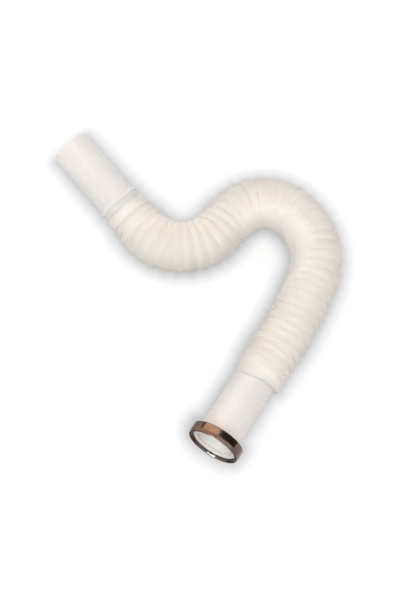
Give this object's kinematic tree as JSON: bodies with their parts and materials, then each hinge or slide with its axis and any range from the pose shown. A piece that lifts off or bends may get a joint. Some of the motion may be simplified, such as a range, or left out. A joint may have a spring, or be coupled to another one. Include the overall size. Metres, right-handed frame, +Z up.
{
  "type": "sink trap",
  "caption": "Flexible pleated waste hose between a smooth outlet spigot and a flanged inlet tube, with a loose threaded slip nut and a flat seal.",
  "frame": {"origin": "middle of the overall box in plan, at the level of the floor the trap lies on", "axes": "+Z up from the floor, -Y out of the mouth of the slip nut, in plan, +X across to the side the outer bend lies on"},
  "size_m": [0.32, 0.2832, 0.0699],
  "materials": {
    "plated_brass": "bright chrome plating on brass",
    "seal": "plain white flat seal",
    "hard_plastic": "smooth white moulded tube",
    "hose_plastic": "satin cream blown plastic"
  },
  "bodies": {
    "trap": {"corrugated_hose": "hose_plastic", "inlet_tailpiece": "hard_plastic", "outlet_spigot": "hard_plastic", "sealing_washer": "seal"},
    "nut": {"coupling_nut": "plated_brass"}
  },
  "joints": [
    {"name": "nut_turn", "type": "hinge", "parent": "trap", "child": "nut", "pos_m": [0.13248, -0.13953, 0.0342], "axis": [0, -0.9969, 0.0785], "continuous": true}
  ]
}
